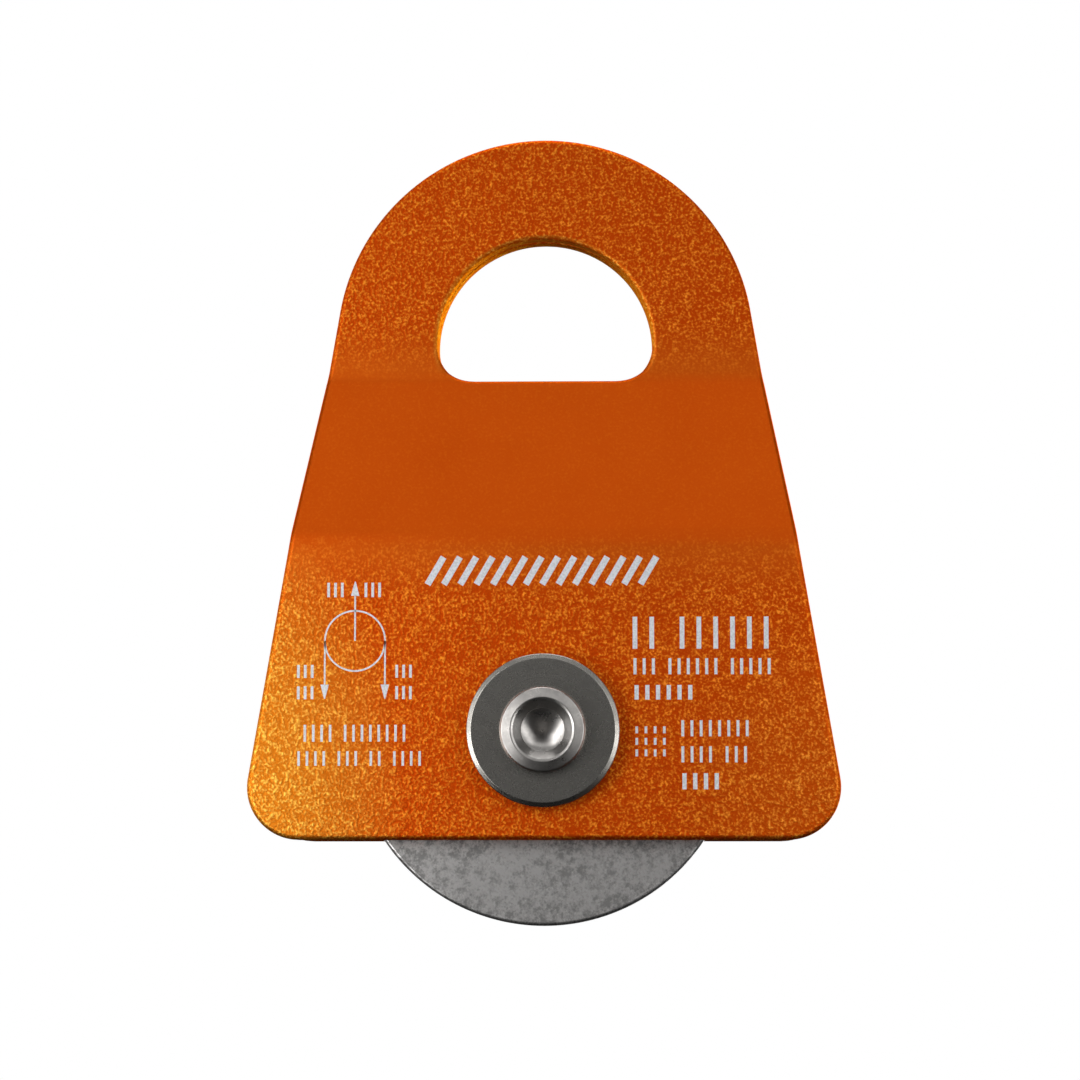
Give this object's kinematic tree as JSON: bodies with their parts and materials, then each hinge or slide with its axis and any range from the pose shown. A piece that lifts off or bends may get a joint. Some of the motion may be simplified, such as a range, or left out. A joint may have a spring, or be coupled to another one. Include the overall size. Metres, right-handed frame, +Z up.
{
  "type": "rope pulley",
  "caption": "Prusik-minding rope pulley with swinging joggled cheek plates, a D-shaped carabiner eye and a ball-bearing sheave on a flared axle.",
  "frame": {"origin": "centre of the D-shaped carabiner eye, midway between the two cheek plates", "axes": "+Z up along the pulley, from the axle towards the eye; Y along the axle, with the front cheek plate on the -Y side; X across the plates"},
  "size_m": [0.0776, 0.0334, 0.1059],
  "materials": {
    "anodised_plate": "orange anodised over a blasted surface",
    "turned_sheave": "fine turned, lightly mottled",
    "stainless": "satin stainless steel",
    "axle_steel": "polished stainless steel",
    "bearing_steel": "ground and polished bearing steel",
    "cage_steel": "pressed steel"
  },
  "bodies": {
    "rear_plate": {"rear_cheek_plate": "anodised_plate"},
    "axle_set": {"axle": "axle_steel", "front_washer": "stainless", "rear_washer": "stainless", "front_spacer": "stainless", "rear_spacer": "stainless", "bearing_inner_race": "bearing_steel"},
    "front_plate": {"front_cheek_plate": "anodised_plate"},
    "sheave_set": {"sheave": "turned_sheave", "bearing_outer_race": "bearing_steel", "front_shield": "stainless", "rear_shield": "stainless", "retaining_ring": "bearing_steel"},
    "ball_set": {"bearing_cage": "cage_steel", "ball_1": "bearing_steel", "ball_2": "bearing_steel", "ball_3": "bearing_steel", "ball_4": "bearing_steel", "ball_5": "bearing_steel", "ball_6": "bearing_steel", "ball_7": "bearing_steel", "ball_8": "bearing_steel"}
  },
  "joints": [
    {"name": "axle_turn", "type": "hinge", "parent": "rear_plate", "child": "axle_set", "pos_m": [0, 0, -0.05695], "axis": [0, 1, 0], "continuous": true},
    {"name": "front_plate_swing", "type": "hinge", "parent": "axle_set", "child": "front_plate", "pos_m": [0, 0, -0.05695], "axis": [0, 1, 0], "continuous": true},
    {"name": "sheave_spin", "type": "hinge", "parent": "axle_set", "child": "sheave_set", "pos_m": [0, 0, -0.05695], "axis": [0, 1, 0], "continuous": true},
    {"name": "ball_set_orbit", "type": "hinge", "parent": "axle_set", "child": "ball_set", "pos_m": [0, 0, -0.05695], "axis": [0, 1, 0], "continuous": true}
  ],
  "couplings": [
    {"joint": "ball_set_orbit", "follows": "sheave_spin", "ratio": 0.61905}
  ]
}
